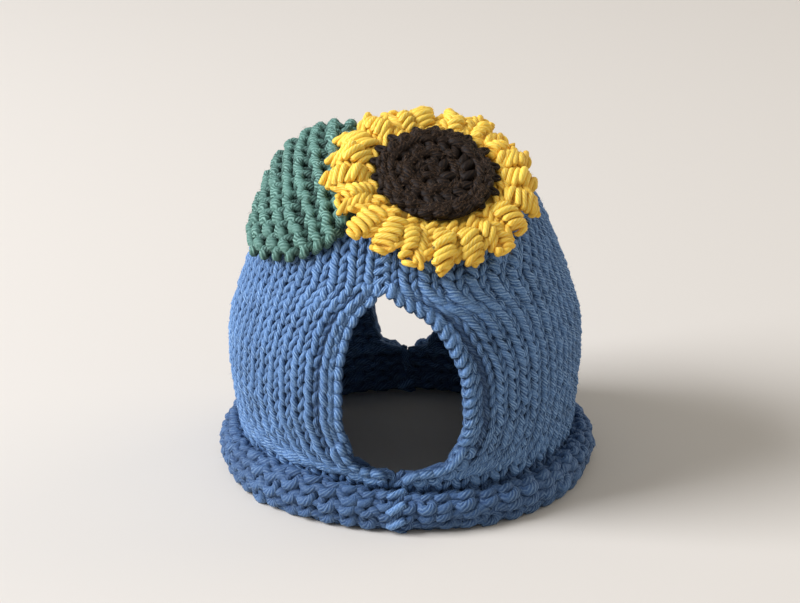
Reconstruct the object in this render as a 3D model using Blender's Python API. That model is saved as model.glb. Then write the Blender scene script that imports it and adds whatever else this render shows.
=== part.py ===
# A hand-knitted tea cosy for a small round teapot, in metres with +Z up.
#
# Two stockinette halves are sewn together in front and behind, with a spout opening and a handle
# opening left in the seams, and their cast-on edge rolls outwards as the hem that it rests on.
# A garter-stitch leaf and a crocheted sunflower are sewn to the crown.
#
# The spout side faces -Y. The origin is at the middle of the hem, on the surface under it.
# An azimuth is an angle from -Y towards +X, and a station is a distance along the wall's section
# from the foot of the wall, where it leaves the hem, up to the crown.

import math

import bmesh
import bpy
import numpy as np
from mathutils import Matrix, Vector

MM = 0.001

KNIT_THICKNESS = 3.0 * MM
SEAM_GAP = 0.3 * MM
SEAT_GAP = 0.35 * MM
CROWN_LEAN = 7.0 * MM
LEAN_STARTS = 80.0 * MM
LEAN_ENDS = 114.0 * MM

# The wall's outer face, from the foot to the crown.
WALL_SECTION = [
    # radius, height
    (52.6, 11.5),
    (54.2, 17.5),
    (57.0, 27.0),
    (58.9, 38.0),
    (58.3, 50.0),
    (55.2, 62.0),
    (51.3, 74.0),
    (47.2, 84.0),
    (43.6, 91.0),
    (38.9, 97.4),
    (32.8, 102.8),
    (25.4, 107.4),
    (16.6, 111.2),
    (7.8, 113.9),
    (0.0, 114.6),
]

# Where the halves' front edges run around the spout. A row is the station that a row of knitting
# has at the side of the pot, and the next column is the station that its end reaches in front.
FRONT_EDGE = [
    # row, station, middle of the opening, half its width
    (0.0, 0.0, -2.6, 0.0),
    (4.5, 4.6, -2.6, 0.3),
    (8.5, 5.2, -2.5, 8.0),
    (12.5, 8.2, -1.8, 13.8),
    (18.5, 15.0, -1.4, 17.6),
    (27.0, 25.0, -1.3, 20.3),
    (38.0, 38.5, -1.7, 19.9),
    (50.0, 52.0, -3.3, 15.9),
    (58.0, 60.5, -4.8, 10.4),
    (65.0, 67.3, -7.2, 1.8),
    (71.0, 72.0, -7.8, 0.0),
    (90.0, 90.0, -5.5, 0.0),
    (112.0, 112.0, -1.5, 0.0),
    (136.0, 136.0, 0.0, 0.0),
]

# The same for the back edges, which part evenly around the pot's handle.
BACK_EDGE = [
    # row, station, half the opening's width
    (0.0, 0.0, 0.0),
    (4.5, 4.6, 0.2),
    (8.5, 5.9, 4.8),
    (13.0, 9.6, 8.8),
    (20.0, 17.5, 11.8),
    (31.0, 30.0, 13.4),
    (44.0, 44.5, 12.8),
    (56.0, 58.0, 9.8),
    (65.0, 67.5, 5.6),
    (72.0, 74.0, 0.2),
    (78.0, 79.0, 0.0),
    (136.0, 136.0, 0.0),
]

# The rolled hem stands taller where the cast-on edge is looser, at the left of the spout.
HEM_ROLL = [
    # azimuth, half height, half depth, foot radius
    (-180.0, 6.2, 6.0, 51.4),
    (-120.0, 6.3, 5.5, 53.8),
    (-85.0, 6.8, 5.2, 54.4),
    (-38.0, 7.9, 6.1, 52.2),
    (-12.0, 6.7, 6.1, 51.0),
    (15.0, 5.9, 5.9, 51.0),
    (60.0, 5.8, 5.6, 53.8),
    (95.0, 6.0, 5.2, 55.6),
    (135.0, 6.0, 5.7, 53.4),
    (180.0, 6.2, 6.0, 51.4),
]
HEM_FLATTENING = 0.7 * MM
HEM_STEPS = 13
HEM_STEP_ANGLE = math.radians(22.5)
FOOT_REACH = 26.0 * MM

OPENING_STATIONS = (4.5, 67.0)
EDGE_CURL = 2.4 * MM
EDGE_CURL_REACH = 6.0 * MM
SEAM_DIP = 0.8 * MM
SEAM_DIP_FULL_ROW = 5.0
OPENING_EASE = 4.0
ROW_BEND_REACH = 0.36
PUSH_FADE = 1.6
COLUMNS = 24
COLUMN_CROWDING = 0.09
ROW_STEP = 6.6
FINE_ROW_STEP = 2.6
CORNER_REACH = 6.5
LAST_ROW = 128.0

# The soft lumps of hand knitting over a pot, as changes of the wall's radius around it.
LUMPS = [
    # waves around, millimetres, start angle
    (3, 0.45, 0.8),
    (5, 0.30, -1.1),
]
SWIRL = 0.35 * MM
SWIRL_RISE = 11.0 * MM
LUMPS_END_ABOVE = 60.0 * MM
LUMPS_FADE_OVER = 45.0 * MM

LEAF_THICKNESS = 5.0 * MM
LEAF_HALF_LENGTH = 25.5 * MM
LEAF_HALF_WIDTH = 27.5 * MM
LEAF_RIDGE_PITCH = 4.5 * MM
LEAF_RIDGE_HEIGHT = 0.8 * MM
LEAF_AIM = (-0.53, -0.25, 0.67)
LEAF_TURN = math.radians(-18.0)
LEAF_COLUMNS = 36
LEAF_ROWS = 10
LEAF_EDGE_DROP = 1.2 * MM
LEAF_PUFF = 3.2 * MM
LEAF_PUFF_STARTS = 0.35
LEAF_PUFF_REACH = 1.1
DRAPE_CENTRE = Vector((0.0, 0.0, 62.0 * MM))
DRAPE_REACH = 90.0 * MM
DRAPE_HALVINGS = 30

FLOWER_X = 8.5 * MM
FLOWER_Y = -20.0 * MM
FLOWER_TILT = math.radians(30.0)
FLOWER_ROLL = math.radians(5.0)
FLOWER_CURVE = 170.0 * MM
FLOWER_LIFT = 3.4 * MM
FLOWER_LIFT_TOWARDS = math.radians(190.0)
FLOWER_LIFT_STARTS = 12.0 * MM
FLOWER_LIFT_REACH = 20.0 * MM
FLOWER_REACH = 36.0 * MM
CENTRE_RADIUS = 19.4 * MM
TOOTH_DEPTH = 0.9 * MM
TEETH = 18
RING_INNER_RADIUS = 14.5 * MM
PETAL_ROOT_RADIUS = CENTRE_RADIUS + TOOTH_DEPTH + 0.5 * MM
RING_THICKNESS = 2.2 * MM
PETALS = 20

COLOURS = {
    # red, green, blue in linear light, roughness
    "blue_yarn": (0.115, 0.222, 0.442, 0.85),
    "green_yarn": (0.110, 0.270, 0.190, 0.85),
    "yellow_yarn": (0.860, 0.520, 0.040, 0.80),
    "brown_yarn": (0.028, 0.017, 0.013, 0.85),
}


def clear_scene():
    for item in list(bpy.data.objects):
        bpy.data.objects.remove(item, do_unlink=True)


def curve_through(table):
    """A function that reads a table's later columns, in millimetres, smoothly against its first."""
    rows = np.array(table)
    x = rows[:, 0]
    steps = np.diff(x)[:, None]
    slopes = np.diff(rows[:, 1:], axis=0) / steps
    before, after = slopes[:-1], slopes[1:]
    same_way = before * after > 0
    harmonic = 2 * before * after / np.where(same_way, before + after, 1.0)
    tangents = np.vstack([slopes[:1], np.where(same_way, harmonic, 0.0), slopes[-1:]])

    def read(at):
        at = min(max(at, x[0]), x[-1])
        k = min(max(int(np.searchsorted(x, at)) - 1, 0), len(x) - 2)
        span = x[k + 1] - x[k]
        f = (at - x[k]) / span
        start, end = rows[k, 1:], rows[k + 1, 1:]
        return (
            start * (1 + 2 * f) * (1 - f) ** 2
            + tangents[k] * span * f * (1 - f) ** 2
            + end * f * f * (3 - 2 * f)
            + tangents[k + 1] * span * f * f * (f - 1)
        )

    return read


def with_stations(section):
    """The section's rows, each after its distance along the section."""
    rows = np.array(section)
    lengths = np.hypot(*np.diff(rows, axis=0).T)
    stations = np.concatenate([[0.0], np.cumsum(lengths)])
    return np.column_stack([stations, rows])


WALL = with_stations(WALL_SECTION)
TOP_STATION = WALL[-1, 0]
wall_at = curve_through(WALL)
front_edge_at = curve_through(FRONT_EDGE)
back_edge_at = curve_through(BACK_EDGE)
hem_at = curve_through(HEM_ROLL)
SAMPLED = np.array([wall_at(station) for station in np.linspace(0.0, TOP_STATION, 400)]) * MM


def fade(distance, reach):
    """1 at a distance of 0, easing to 0 at the reach."""
    f = min(max(distance / reach, 0.0), 1.0)
    return (1 - f) ** 2 * (1 + 2 * f)


def section_point(station):
    """Radius, height and outward slope of the wall's outer face."""
    radius, height = wall_at(station)
    low = wall_at(max(station - 0.5, 0.0))
    high = wall_at(min(station + 0.5, TOP_STATION))
    along = Vector((high[0] - low[0], high[1] - low[1])).normalized()
    return radius * MM, height * MM, Vector((along.y, -along.x))


def lean(height):
    """How far the crown leans back at this height."""
    f = min(max((height - LEAN_STARTS) / (LEAN_ENDS - LEAN_STARTS), 0.0), 1.0)
    return CROWN_LEAN * f * f * (3 - 2 * f)


def unevenness(azimuth, height):
    """The change of the wall's radius here by its lumps and its slight swirl."""
    change = sum(size * MM * math.sin(waves * azimuth + start) for waves, size, start in LUMPS)
    change += SWIRL * math.sin(2 * azimuth + height / SWIRL_RISE)
    return change * fade(height - LUMPS_END_ABOVE, LUMPS_FADE_OVER)


def placed(radius, azimuth, height):
    y = lean(height) - radius * math.cos(azimuth)
    return Vector((radius * math.sin(azimuth), y, height))


def openness(row):
    """1 where a seam is left open, easing to 0 where it is sewn."""
    low, high = OPENING_STATIONS
    inside = min(row - low, high - row)
    return 1.0 - fade(inside, OPENING_EASE)


def edge_azimuths(side, row):
    """(azimuth, station) of a half's front edge and of its back edge, on one row of knitting."""
    station, middle, half_width = front_edge_at(row)
    back_station, back_half_width = back_edge_at(row)
    radius = wall_at(station)[0]
    back_radius = wall_at(back_station)[0]
    x = middle + side * (half_width + SEAM_GAP / 2 / MM)
    front = math.asin(x / radius)
    back = math.pi - math.asin((back_half_width + SEAM_GAP / 2 / MM) / back_radius)
    return (front, station), (side * back, back_station)


def column_azimuth(front, back, side, across):
    """A column's azimuth: the columns crowd together beside an opening."""
    even = side * math.pi * across
    pushed = front * (1 - across) ** PUSH_FADE
    return even + pushed + (back - side * math.pi) * across**PUSH_FADE


def wall_faces(side, across, row):
    """The outer and inner points of a half, at a fraction across it and on one row."""
    (front, front_station), (back, back_station) = edge_azimuths(side, row)
    station = row
    station += (front_station - row) * fade(across, ROW_BEND_REACH)
    station += (back_station - row) * fade(1 - across, ROW_BEND_REACH)
    azimuth = column_azimuth(front, back, side, across)
    radius, height, normal = section_point(station)
    width = abs(back - front) * radius
    foot = hem_at(math.degrees(azimuth))[2] * MM + KNIT_THICKNESS / 2
    radius += (foot - WALL_SECTION[0][0] * MM) * fade(station * MM, FOOT_REACH)
    opened = openness(row)
    dip = (1 - opened) * SEAM_DIP * min(row / SEAM_DIP_FULL_ROW, 1.0)
    for distance in (across * width, (1 - across) * width):
        radius -= (opened * EDGE_CURL + dip) * fade(distance, EDGE_CURL_REACH)
    radius += unevenness(azimuth, height)
    depth = min(KNIT_THICKNESS, 0.9 * radius / max(normal.x, 0.01))
    outer = placed(radius, azimuth, height)
    inner = placed(radius - depth * normal.x, azimuth, height - depth * normal.y)
    return outer, inner


def hem_faces(side, across, step):
    """The same for the rolled hem, counted from its tucked end to the foot of the wall."""
    (front, _), (back, _) = edge_azimuths(side, 0.0)
    azimuth = column_azimuth(front, back, side, across)
    half_height, half_depth, foot = hem_at(math.degrees(azimuth)) * MM
    angle = (HEM_STEPS - step) * HEM_STEP_ANGLE - math.pi
    half = KNIT_THICKNESS / 2
    middle_radius = foot + half_depth - half + unevenness(azimuth, 0.0)
    middle_height = half_height - HEM_FLATTENING
    cos, sin = math.cos(angle), math.sin(angle)

    def ring(inset):
        radius = middle_radius + (half_depth - inset) * cos
        height = middle_height + (half_height - inset) * sin
        return placed(radius, azimuth, max(height, 0.0))

    return ring(KNIT_THICKNESS), ring(0.0)


def row_list():
    """Rows up the wall, closer together at the corners of the openings."""
    rows = [0.0]
    while rows[-1] < LAST_ROW:
        near = min(abs(rows[-1] - corner) for corner in OPENING_STATIONS)
        rows.append(rows[-1] + (FINE_ROW_STEP if near < CORNER_REACH else ROW_STEP))
    return rows[:-1]


def column_list():
    """Fractions across a half, closer together at its two edges."""
    even = [k / COLUMNS for k in range(COLUMNS + 1)]
    return [u - COLUMN_CROWDING * math.sin(2 * math.pi * u) for u in even]


def finish_object(name, mesh, material):
    mesh.normal_update()
    data = bpy.data.meshes.new(name)
    mesh.to_mesh(data)
    mesh.free()
    data.shade_smooth()
    data.set_sharp_from_angle(angle=math.radians(50))
    data.materials.append(material)
    thing = bpy.data.objects.new(name, data)
    bpy.context.scene.collection.objects.link(thing)
    return thing


def strip(mesh, first, second):
    """Quads between two rows of vertices."""
    for a, b, c, d in zip(first, first[1:], second[1:], second):
        mesh.faces.new((a, b, c, d))


def knitted_half(name, side, material):
    mesh = bmesh.new()
    columns = column_list()
    grid = [[hem_faces(side, across, step) for across in columns] for step in range(HEM_STEPS + 1)]
    grid += [[wall_faces(side, across, row) for across in columns] for row in row_list()]
    outer = [[mesh.verts.new(pair[0]) for pair in row] for row in grid]
    inner = [[mesh.verts.new(pair[1]) for pair in row] for row in grid]
    tip = placed(0.0, 0.0, WALL_SECTION[-1][1] * MM) + Vector((side * SEAM_GAP / 2, 0, 0))
    outer_tip = mesh.verts.new(tip)
    inner_tip = mesh.verts.new(tip - Vector((0, 0, KNIT_THICKNESS)))
    for low, high in zip(outer, outer[1:]):
        strip(mesh, low, high)
    for low, high in zip(inner, inner[1:]):
        strip(mesh, high, low)
    strip(mesh, inner[0], outer[0])
    for column in (0, -1):
        outer_edge = [row[column] for row in outer] + [outer_tip]
        inner_edge = [row[column] for row in inner] + [inner_tip]
        pair = (outer_edge, inner_edge) if column == 0 else (inner_edge, outer_edge)
        strip(mesh, *pair)
    for a, b in zip(outer[-1], outer[-1][1:]):
        mesh.faces.new((a, b, outer_tip))
    for a, b in zip(inner[-1], inner[-1][1:]):
        mesh.faces.new((b, a, inner_tip))
    if side < 0:
        bmesh.ops.reverse_faces(mesh, faces=mesh.faces)
    return finish_object(name, mesh, material)


def inside_crown(point):
    radius = np.interp(point.z, SAMPLED[:, 1], SAMPLED[:, 0])
    return point.z < SAMPLED[-1, 1] and math.hypot(point.x, point.y - lean(point.z)) < radius


def drape(direction, height):
    """The point this high above the crown's outer face, along a ray from inside the cosy."""
    near, far = 0.0, DRAPE_REACH
    for _ in range(DRAPE_HALVINGS):
        middle = (near + far) / 2
        if inside_crown(DRAPE_CENTRE + direction * middle):
            near = middle
        else:
            far = middle
    return DRAPE_CENTRE + direction * (near + height)


def flower_base(x, y):
    """Height of the flower's underside in its own frame, bent over the crown and up over the leaf."""
    radius = math.hypot(x, y)
    turn = math.atan2(y, x) - FLOWER_LIFT_TOWARDS
    lift = FLOWER_LIFT * max(math.cos(turn), 0.0) ** 2
    lift *= 1 - fade(radius - FLOWER_LIFT_STARTS, FLOWER_LIFT_REACH)
    return -radius * radius / (2 * FLOWER_CURVE) + lift


def flower_frame():
    """The flower's own frame, seated on the crown without touching it."""
    spin = Matrix.Rotation(FLOWER_ROLL, 4, "Y") @ Matrix.Rotation(FLOWER_TILT, 4, "X")
    frame = Matrix.Translation((FLOWER_X, FLOWER_Y, 100 * MM)) @ spin
    inverse = frame.inverted()
    highest = -1.0
    for turn in np.linspace(0, 2 * math.pi, 90, endpoint=False):
        for station in np.linspace(70.0, TOP_STATION, 40):
            radius, height, _ = section_point(station)
            local = inverse @ placed(radius, turn, height)
            if math.hypot(local.x, local.y) < FLOWER_REACH:
                highest = max(highest, local.z - flower_base(local.x, local.y))
    return frame @ Matrix.Translation((0, 0, highest + SEAT_GAP))


def leaf_half_width(u):
    """Half the leaf's width at a place along it, blunt at the tip and drawn in at the base."""
    f = u / LEAF_HALF_LENGTH
    return LEAF_HALF_WIDTH * (1 - 0.4 * abs(f) ** 3)


def leaf_height(f):
    """The leaf's thickness at a fraction down it: it stands up off the crown towards its top."""
    puff = LEAF_PUFF * (1 - fade(LEAF_PUFF_STARTS - f, LEAF_PUFF_REACH))
    return LEAF_THICKNESS + puff - LEAF_EDGE_DROP * f**6


def garter_leaf(name, material, flower):
    aim = Vector(LEAF_AIM).normalized()
    along = Vector((0, 0, 1)).cross(aim).normalized()
    down = aim.cross(along).normalized() * -1
    turned_along = along * math.cos(LEAF_TURN) + down * math.sin(LEAF_TURN)
    turned_down = down * math.cos(LEAF_TURN) - along * math.sin(LEAF_TURN)
    reach = (drape(aim, 0.0) - DRAPE_CENTRE).length
    under_flower = flower.inverted()
    mesh = bmesh.new()
    top, bottom = [], []
    for i in range(LEAF_COLUMNS + 1):
        u = LEAF_HALF_LENGTH * (2 * i / LEAF_COLUMNS - 1)
        ridge = LEAF_RIDGE_HEIGHT * math.cos(2 * math.pi * u / LEAF_RIDGE_PITCH)
        top.append([])
        bottom.append([])
        for j in range(LEAF_ROWS + 1):
            f = 2 * j / LEAF_ROWS - 1
            v = leaf_half_width(u) * f
            direction = (aim * reach + turned_along * u + turned_down * v).normalized()
            low = drape(direction, SEAT_GAP)
            high = drape(direction, leaf_height(f) + ridge * (1 - f**4))
            local = under_flower @ high
            if math.hypot(local.x, local.y) < FLOWER_REACH:
                local.z = min(local.z, flower_base(local.x, local.y) - 3 * SEAT_GAP)
                high = flower @ local
            top[-1].append(mesh.verts.new(high))
            bottom[-1].append(mesh.verts.new(low))
    for a, b in zip(top, top[1:]):
        strip(mesh, a, b)
    for a, b in zip(bottom, bottom[1:]):
        strip(mesh, b, a)
    strip(mesh, bottom[0], top[0])
    strip(mesh, top[-1], bottom[-1])
    for j in (0, -1):
        upper = [row[j] for row in top]
        lower = [row[j] for row in bottom]
        pair = (upper, lower) if j == 0 else (lower, upper)
        strip(mesh, *pair)
    bmesh.ops.recalc_face_normals(mesh, faces=mesh.faces)
    return finish_object(name, mesh, material)


def ring_of(mesh, flower, radii, heights):
    """A closed ring of vertices, each at its own radius and height over the flower's underside."""
    count = len(radii)
    ring = []
    for k, (radius, height) in enumerate(zip(radii, heights)):
        angle = 2 * math.pi * k / count
        x, y = radius * math.cos(angle), radius * math.sin(angle)
        ring.append(mesh.verts.new(flower @ Vector((x, y, flower_base(x, y) + height))))
    return ring + ring[:1]


PETAL_UNEVENNESS = 0.9 * MM
PETAL_UNEVENNESS_STEP = 2.7
PETAL_SHORTENING = 1.4 * MM
PETALS_SHORTER_TOWARDS = math.radians(18.0)
PETAL_TIP_RISE = 0.86

# A petal of the crocheted round, across one repeat: a fat curled ridge, then a trough.
PETAL_SHAPE = [
    # reach from the middle, height
    (29.6, 1.4),
    (31.4, 3.4),
    (33.2, 4.4),
    (34.4, 4.0),
    (34.2, 2.8),
    (32.6, 1.8),
    (30.4, 1.2),
]


def petal_round(name, material, flower):
    mesh = bmesh.new()
    reach, crest = [], []
    for petal in range(PETALS):
        turn = 2 * math.pi * petal / PETALS - PETALS_SHORTER_TOWARDS
        longer = PETAL_UNEVENNESS * math.sin(PETAL_UNEVENNESS_STEP * petal)
        longer -= PETAL_SHORTENING * max(math.cos(turn), 0.0)
        reach += [radius * MM + longer for radius, _ in PETAL_SHAPE]
        crest += [height * MM for _, height in PETAL_SHAPE]
    count = len(reach)

    def level(fraction, floor):
        radii = [PETAL_ROOT_RADIUS + (r - PETAL_ROOT_RADIUS) * fraction for r in reach]
        rise = math.sin(math.pi * min(fraction, PETAL_TIP_RISE))
        heights = [RING_THICKNESS * (1 - fraction) + c * rise for c in crest]
        return ring_of(mesh, flower, radii, [0.0] * count if floor else heights)

    tops = [ring_of(mesh, flower, [RING_INNER_RADIUS] * count, [RING_THICKNESS] * count)]
    tops += [level(fraction, False) for fraction in (0.0, 0.3, 0.55, 0.8, 1.0)]
    floors = [ring_of(mesh, flower, [RING_INNER_RADIUS] * count, [0.0] * count)]
    floors += [level(fraction, True) for fraction in (0.0, 0.5, 1.0)]
    for a, b in zip(tops, tops[1:]):
        strip(mesh, a, b)
    for a, b in zip(floors, floors[1:]):
        strip(mesh, b, a)
    strip(mesh, floors[0], tops[0])
    strip(mesh, tops[-1], floors[-1])
    bmesh.ops.recalc_face_normals(mesh, faces=mesh.faces)
    return finish_object(name, mesh, material)


CENTRE_EDGE_DEPTH = 1.0 * MM

# The crocheted centre's top, from its middle out: a dimple, then three rounds of stitches.
CENTRE_TOP = [
    # radius, height
    (1.5, 3.6),
    (4.2, 4.6),
    (7.0, 4.0),
    (10.2, 5.2),
    (13.0, 4.5),
    (16.2, 5.7),
    (18.6, 4.6),
]


def crocheted_centre(name, material, flower):
    mesh = bmesh.new()
    count = TEETH * 3
    tooth = [TOOTH_DEPTH if k % 3 == 0 else 0.0 for k in range(count)]
    tops = []
    for radius, height in CENTRE_TOP:
        tops.append(ring_of(mesh, flower, [radius * MM] * count, [height * MM] * count))
    edge = [CENTRE_RADIUS + t for t in tooth]
    above_ring = RING_THICKNESS + SEAT_GAP
    tops.append(ring_of(mesh, flower, edge, [above_ring + CENTRE_EDGE_DEPTH] * count))
    tops.append(ring_of(mesh, flower, edge, [above_ring] * count))
    stem = RING_INNER_RADIUS - 2 * SEAT_GAP
    tops.append(ring_of(mesh, flower, [stem] * count, [above_ring] * count))
    tops.append(ring_of(mesh, flower, [stem] * count, [0.0] * count))
    tops.append(ring_of(mesh, flower, [CENTRE_TOP[0][0] * MM] * count, [0.0] * count))
    for a, b in zip(tops, tops[1:]):
        strip(mesh, a, b)
    mesh.faces.new(tops[0][:-1])
    mesh.faces.new(tops[-1][:-1][::-1])
    bmesh.ops.recalc_face_normals(mesh, faces=mesh.faces)
    return finish_object(name, mesh, material)


def yarn(name):
    red, green, blue, roughness = COLOURS[name]
    material = bpy.data.materials.new(name)
    material.use_nodes = True
    shader = material.node_tree.nodes["Principled BSDF"]
    shader.inputs["Base Color"].default_value = (red, green, blue, 1.0)
    shader.inputs["Roughness"].default_value = roughness
    shader.inputs["Metallic"].default_value = 0.0
    return material


def main():
    clear_scene()
    blue = yarn("blue_yarn")
    knitted_half("left_half", -1, blue)
    knitted_half("right_half", 1, blue)
    flower = flower_frame()
    garter_leaf("leaf", yarn("green_yarn"), flower)
    petal_round("petal_round", yarn("yellow_yarn"), flower)
    crocheted_centre("flower_centre", yarn("brown_yarn"), flower)


main()
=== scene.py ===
from math import cos, pi, radians, sin

import bpy
import numpy as np
from mathutils import Matrix, Vector


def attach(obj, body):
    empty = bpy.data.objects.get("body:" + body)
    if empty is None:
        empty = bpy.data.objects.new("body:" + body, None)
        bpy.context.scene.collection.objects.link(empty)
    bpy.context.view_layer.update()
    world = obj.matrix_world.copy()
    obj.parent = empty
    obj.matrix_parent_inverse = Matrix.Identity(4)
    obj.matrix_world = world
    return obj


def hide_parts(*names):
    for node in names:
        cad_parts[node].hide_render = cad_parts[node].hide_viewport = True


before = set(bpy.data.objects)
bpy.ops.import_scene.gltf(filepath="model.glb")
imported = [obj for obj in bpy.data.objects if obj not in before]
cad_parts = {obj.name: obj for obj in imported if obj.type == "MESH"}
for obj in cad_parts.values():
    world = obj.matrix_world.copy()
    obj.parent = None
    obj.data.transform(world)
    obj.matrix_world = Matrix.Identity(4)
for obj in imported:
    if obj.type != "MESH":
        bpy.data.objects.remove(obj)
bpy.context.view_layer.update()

mm = 0.001
rng = np.random.default_rng(20)


def curveThrough(table):
    # reads a table's later columns smoothly against its first one
    rows = np.array(table, float)
    x = rows[:, 0]
    slopes = np.diff(rows[:, 1:], axis=0) / np.diff(x)[:, None]
    before, after = slopes[:-1], slopes[1:]
    sameWay = before * after > 0
    harmonic = 2 * before * after / np.where(sameWay, before + after, 1.0)
    tangents = np.vstack([slopes[:1], np.where(sameWay, harmonic, 0.0), slopes[-1:]])

    def read(at):
        at = np.clip(np.asarray(at, float), x[0], x[-1])
        k = np.clip(np.searchsorted(x, at) - 1, 0, len(x) - 2)
        span = (x[k + 1] - x[k])[..., None]
        f = ((at - x[k]) / (x[k + 1] - x[k]))[..., None]
        start, end = rows[k, 1:], rows[k + 1, 1:]
        mixed = start * (1 + 2 * f) * (1 - f) ** 2 + tangents[k] * span * f * (1 - f) ** 2
        mixed = mixed + end * f * f * (3 - 2 * f) + tangents[k + 1] * span * f * f * (f - 1)
        return np.moveaxis(mixed, -1, 0)

    return read


def fade(distance, reach):
    # 1 at a distance of 0, easing to 0 at the reach
    f = np.clip(np.asarray(distance, float) / reach, 0.0, 1.0)
    return (1 - f) ** 2 * (1 + 2 * f)


def unit(vectors):
    return vectors / np.maximum(np.linalg.norm(vectors, axis=-1, keepdims=True), 1e-12)


def linear(hexColour):
    # an sRGB hex value as linear light
    parts = [int(hexColour[k:k + 2], 16) / 255 for k in (1, 3, 5)]
    return tuple(p / 12.92 if p <= 0.04045 else ((p + 0.055) / 1.055) ** 2.4 for p in parts) + (1.0,)


body = {  # mm and degrees
    "cloth": 3.0,  # thickness of the knitting
    "seamGap": 0.3,
    "lean": (7.0, 80.0, 114.0),  # how far back, from this height to that one
    "footReach": 26.0,
    "openRows": (4.5, 67.0),
    "openEase": 4.0,
    "edgeCurl": 2.4,
    "curlReach": 6.0,
    "seamDip": 0.8,
    "seamDipFullRow": 5.0,
    "rowBendReach": 0.36,
    "pushFade": 1.6,
    "lumps": ((3, 0.45, 0.8), (5, 0.30, -1.1)),
    "swirl": (0.35, 11.0),
    "lumpsEnd": (60.0, 45.0),
    "hemFlattening": 0.7,
    "hemSteps": 13,
    "hemStepAngle": 22.5,
    "wall": [  # radius, height
        (52.6, 11.5), (54.2, 17.5), (57.0, 27.0), (58.9, 38.0), (58.3, 50.0), (55.2, 62.0),
        (51.3, 74.0), (47.2, 84.0), (43.6, 91.0), (38.9, 97.4), (32.8, 102.8), (25.4, 107.4),
        (16.6, 111.2), (7.8, 113.9), (0.0, 114.6),
    ],
    "frontEdge": [  # row, station, middle of the opening, half its width
        (0.0, 0.0, -2.6, 0.0), (4.5, 4.6, -2.6, 0.3), (8.5, 5.2, -2.5, 8.0), (12.5, 8.2, -1.8, 13.8),
        (18.5, 15.0, -1.4, 17.6), (27.0, 25.0, -1.3, 20.3), (38.0, 38.5, -1.7, 19.9),
        (50.0, 52.0, -3.3, 15.9), (58.0, 60.5, -4.8, 10.4), (65.0, 67.3, -7.2, 1.8),
        (71.0, 72.0, -7.8, 0.0), (90.0, 90.0, -5.5, 0.0), (112.0, 112.0, -1.5, 0.0),
        (136.0, 136.0, 0.0, 0.0),
    ],
    "backEdge": [  # row, station, half the opening's width
        (0.0, 0.0, 0.0), (4.5, 4.6, 0.2), (8.5, 5.9, 4.8), (13.0, 9.6, 8.8), (20.0, 17.5, 11.8),
        (31.0, 30.0, 13.4), (44.0, 44.5, 12.8), (56.0, 58.0, 9.8), (65.0, 67.5, 5.6),
        (72.0, 74.0, 0.2), (78.0, 79.0, 0.0), (136.0, 136.0, 0.0),
    ],
    "hemRoll": [  # azimuth, half height, half depth, foot radius
        (-180.0, 6.2, 6.0, 51.4), (-120.0, 6.3, 5.5, 53.8), (-85.0, 6.8, 5.2, 54.4),
        (-38.0, 7.9, 6.1, 52.2), (-12.0, 6.7, 6.1, 51.0), (15.0, 5.9, 5.9, 51.0),
        (60.0, 5.8, 5.6, 53.8), (95.0, 6.0, 5.2, 55.6), (135.0, 6.0, 5.7, 53.4),
        (180.0, 6.2, 6.0, 51.4),
    ],
}

wallRows = np.array(body["wall"])
stations = np.concatenate([[0.0], np.cumsum(np.hypot(*np.diff(wallRows, axis=0).T))])
topStation = stations[-1]
wallAt = curveThrough(np.column_stack([stations, wallRows]))
frontEdgeAt = curveThrough(body["frontEdge"])
backEdgeAt = curveThrough(body["backEdge"])
hemAt = curveThrough(body["hemRoll"])
sampledWall = np.stack(wallAt(np.linspace(0.0, topStation, 400)), axis=1)


def sectionPoint(station):
    # radius, height and outward slope of the wall's outer face, in mm
    radius, height = wallAt(station)
    low = wallAt(np.maximum(station - 0.5, 0.0))
    high = wallAt(np.minimum(station + 0.5, topStation))
    along = unit(np.stack([high[0] - low[0], high[1] - low[1]], axis=-1))
    return radius, height, along[..., 1], -along[..., 0]


def leanAt(height):
    size, start, end = body["lean"]
    f = np.clip((height - start) / (end - start), 0.0, 1.0)
    return size * f * f * (3 - 2 * f)


def openAt(row):
    # 1 beside an opening, easing to 0 above and below it
    low, high = body["openRows"]
    return 1 - fade(np.minimum(row - low, high - row), body["openEase"])


def unevenness(azimuth, height):
    change = sum(size * np.sin(waves * azimuth + start) for waves, size, start in body["lumps"])
    change = change + body["swirl"][0] * np.sin(2 * azimuth + height / body["swirl"][1])
    return change * fade(height - body["lumpsEnd"][0], body["lumpsEnd"][1])


def placed(radius, azimuth, height):
    return np.stack([radius * np.sin(azimuth), leanAt(height) - radius * np.cos(azimuth), height], axis=-1)


def edgeAzimuths(side, row):
    station, middle, halfWidth = frontEdgeAt(row)
    backStation, backHalfWidth = backEdgeAt(row)
    x = middle + side * (halfWidth + body["seamGap"] / 2)
    front = np.arcsin(x / np.maximum(wallAt(station)[0], 0.5 + np.abs(x)))
    backReach = backHalfWidth + body["seamGap"] / 2
    back = pi - np.arcsin(backReach / np.maximum(wallAt(backStation)[0], 0.5 + backReach))
    return front, station, side * back, backStation


def columnAzimuth(front, back, side, across):
    pushed = front * (1 - across) ** body["pushFade"]
    return side * pi * across + pushed + (back - side * pi) * across ** body["pushFade"]


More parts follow.
